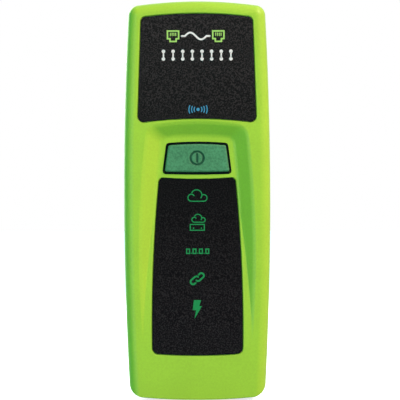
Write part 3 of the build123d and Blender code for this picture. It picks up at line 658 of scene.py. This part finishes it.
def cable_print():
    """Generic cable pictogram: two ports in lime joined by a white line."""
    x, z = -0.3, z_at(0.912)
    port_x = 6.3
    ports = Print("print_ports", "upper_overlay", LIME_INK, x, z)
    for side in (-1, 1):
        port(ports, side * port_x, 0, 0.42)
    ports.build()
    line = Print("print_cable", "upper_overlay", WHITE_INK, x, z)
    reach, wave_reach, wave_height, steps = 3.9, 3.0, 0.95, 24
    turns = [i / steps for i in range(steps + 1)]
    wave = [(wave_reach * (2 * t - 1), wave_height * sin(2 * pi * t)) for t in turns]
    line.stroke([(-reach, 0)] + wave + [(reach, 0)], 0.5)
    line.build()


def wire_map_print():
    """Eight white lines between dots: the wires of one cable."""
    sheet = Print("print_wire_map", "upper_overlay", WHITE_INK, 0.1, z_at(0.864))
    wire_pitch, wire_reach, dot_reach = 2.68, 0.68, 1.05
    for i in range(8):
        x = wire_pitch * (i - 3.5)
        sheet.stroke([(x, -wire_reach), (x, wire_reach)], 0.4)
        for dot_z in (dot_reach, -dot_reach):
            sheet.disc(x, dot_z, 0.5, 16)
    sheet.build()


def painted_gap_shadow():
    """Painted shadow: a thin black band on the case round the button's opening, a four-sided outline
    with bowed ends.
    """
    steps = 6

    def bowed(reach, z, z_middle):
        edges = [-1 + 2 * i / steps for i in range(steps + 1)]
        return [(reach * e, z_middle + (z - z_middle) * e * e) for e in edges]

    side = [(8.36, 3.90), (8.57, 3.40), (9.44, -3.45), (9.33, -3.98)]
    path = bowed(7.85, 4.12, 4.46) + side + bowed(-8.85, -4.31, -4.47) + mirrored(side)
    sheet = Print("painted_gap_shadow", "front_shell", GAP_SHADOW_INK, 0, centre_of("power_button").z)
    sheet.stroke(path, 0.3, closed=True)
    sheet.build()


def status_sheet(name, x, z, scale=1.0):
    """Green print on the lower film, in front of the LEDs."""
    return Print(name, "lower_overlay", GREEN_INK, x, z, scale)


def internet_print():
    """Cloud alone."""
    sheet = status_sheet("print_internet", 0.05, 55.27)
    cloud(sheet, 0, 0, 5.25, STATUS_STROKE)
    sheet.build()


def gateway_print():
    """Cloud on a box with two lamps."""
    sheet = status_sheet("print_gateway", 0.1, 49.0, 0.95)
    cloud(sheet, 0.25, 0.45, 3.85, STATUS_STROKE)
    box = [(-2.15, -0.2), (1.95, -0.2), (1.95, -1.9), (-2.15, -1.9)]
    sheet.stroke(box, STATUS_STROKE, closed=True)
    for lamp_x in (-1.2, 1.1):
        sheet.disc(lamp_x, -1.3, 0.22, 12)
    sheet.build()


def address_print():
    """Four fields with dots between them."""
    sheet = status_sheet("print_address", 0.1, 41.35)
    pitch, half_wide, half_high = 1.78, 0.4, 0.6
    for i in range(4):
        x = pitch * (i - 1.5)
        right = [(x + half_wide, half_high), (x + half_wide, -half_high)]
        left = [(x - half_wide, -half_high), (x - half_wide, half_high)]
        sheet.stroke(right + left, 0.34, closed=True)
        if i:
            sheet.disc(x - pitch / 2, -0.56, 0.17, 10)
    sheet.build()


def link_print():
    """Two chain links, for the connection."""
    sheet = status_sheet("print_link", -0.05, 33.7, 0.88)
    link(sheet, 0.56)
    sheet.build()


def power_feed_print():
    """Filled bolt."""
    sheet = status_sheet("print_power_feed", -0.05, 25.2)
    upper = [(-0.94, 2.56), (1.05, 2.56), (0.56, 0.89), (1.28, 0.86)]
    lower = [(-0.76, -2.6), (-0.34, -0.28), (-1.28, -0.22)]
    sheet.area(upper + lower)
    sheet.build()


# Painted shadow round the button's opening, laid on the case like a print.
painted_gap_shadow()
wireless_print()
cable_print()
wire_map_print()
internet_print()
gateway_print()
address_print()
link_print()
power_feed_print()


# ---------------------------------------------------------------- studio

# The key is warm and comes from the upper right; the light from the left is cool, so that shaded
# green turns towards emerald.


def studio_floor():
    """Pale floor that shows white to the camera and, to other rays, throws little light back."""
    reach, level, glow = 6.0, -0.2 * MM, 0.76
    turns = ((-reach, -reach), (reach, -reach), (reach, reach), (-reach, reach))
    corners = [(x, y, level) for x, y in turns]
    mesh = bpy.data.meshes.new("studio_floor")
    mesh.from_pydata(corners, [], [(0, 1, 2, 3)])
    floor = bpy.data.objects.new("studio_floor", mesh)
    bpy.context.scene.collection.objects.link(floor)
    tree = Tree("floor_pale")
    pale = tree.mix(tree.noise(0.4), rgb(0.86, 0.86, 0.86), rgb(0.9, 0.9, 0.9))
    seen = tree.add("ShaderNodeLightPath").outputs["Is Camera Ray"]
    color = tree.mix(seen, rgb(0.20, 0.36, 0.34), pale)
    tree.feed(tree.shader.inputs["Emission Strength"], tree.band(seen, 0.0, 1.0, 0.0, glow))
    mesh.materials.append(tree.finish(color, 0.75, Emission_Color=rgb(1, 1, 1)))


def soft_light(name, place, size, power, color):
    """Rectangular light aimed at the middle of the object."""
    data = bpy.data.lights.new(name, "AREA")
    data.shape = "RECTANGLE"
    data.size, data.size_y = size
    data.energy = power
    data.color = color
    light = bpy.data.objects.new(name, data)
    bpy.context.scene.collection.objects.link(light)
    light.location = place
    light.rotation_euler = (centre - Vector(place)).to_track_quat("-Z", "Y").to_euler()


def studio_world(front_strength, back_strength, left_color, right_color):
    """White surroundings: full white to the camera, softer as light, brighter behind the object."""
    world = bpy.data.worlds.new("studio_white")
    bpy.context.scene.world = world
    graph = Graph(world)
    graph.nodes.remove(graph.nodes["Background"])
    direction = graph.add("ShaderNodeTexCoord").outputs["Generated"]
    toward = graph.add("ShaderNodeSeparateXYZ", {"Vector": direction}).outputs
    strength = graph.band(toward["Y"], -0.1, 0.5, front_strength, back_strength)
    color = graph.mix(graph.rise(toward["X"], -0.6, 0.6), left_color, right_color)
    as_light = graph.add("ShaderNodeBackground", {"Color": color, "Strength": strength}).outputs[0]
    as_seen = graph.add("ShaderNodeBackground", {"Color": rgb(1, 1, 1), "Strength": 1.0}).outputs[0]
    seen = graph.add("ShaderNodeLightPath").outputs["Is Camera Ray"]
    shown = graph.add("ShaderNodeMixShader", {0: seen, 1: as_light, 2: as_seen}).outputs[0]
    graph.feed(graph.nodes["World Output"].inputs["Surface"], shown)


studio_floor()
studio_world(
    front_strength=0.46,
    back_strength=0.8,
    left_color=rgb(0.20, 0.96, 1.0),
    right_color=rgb(0.75, 0.98, 1.0),
)
soft_light("key", (0.60, -0.52, 0.70), (0.4, 0.4), power=13.3, color=(1.0, 0.66, 0.59))
soft_light("fill", (-0.50, -0.85, 0.07), (0.35, 0.13), power=2.1, color=(0.36, 0.96, 0.95))
soft_light("rim", (0.45, 0.15, 0.95), (0.3, 0.3), power=1.6, color=(0.95, 1.0, 1.0))
soft_light("back", (-0.5, 0.9, 0.4), (0.6, 0.6), power=13.0, color=(1.0, 0.93, 0.88))


# ---------------------------------------------------------------- camera

# Seen straight from the front, from far enough away to show no perspective to speak of.
# VIEW_WIDTH is what the picture spans at DISTANCE, just behind the front face.
DISTANCE = 1.1
FACE_DEPTH = 2.2 * MM
VIEW_WIDTH = 1.0038 * height
AIM_X = 0.78 * MM
AIM_Z = 0.5010 * height
ROLL = radians(0.15)
SENSOR_WIDTH = 36.0

camera_data = bpy.data.cameras.new("camera")
camera = bpy.data.objects.new("camera", camera_data)
bpy.context.scene.collection.objects.link(camera)
camera.location = (AIM_X, cad_low.y + FACE_DEPTH - DISTANCE, AIM_Z)
camera.rotation_euler = (pi / 2, ROLL, 0)
camera_data.sensor_width = SENSOR_WIDTH
camera_data.lens = SENSOR_WIDTH * DISTANCE / VIEW_WIDTH
camera_data.clip_start = 0.01
camera_data.clip_end = 20.0
bpy.context.scene.camera = camera

view = bpy.context.scene.view_settings
view.view_transform = "Standard"
view.look = "None"
view.exposure = 0.0
view.gamma = 1.0
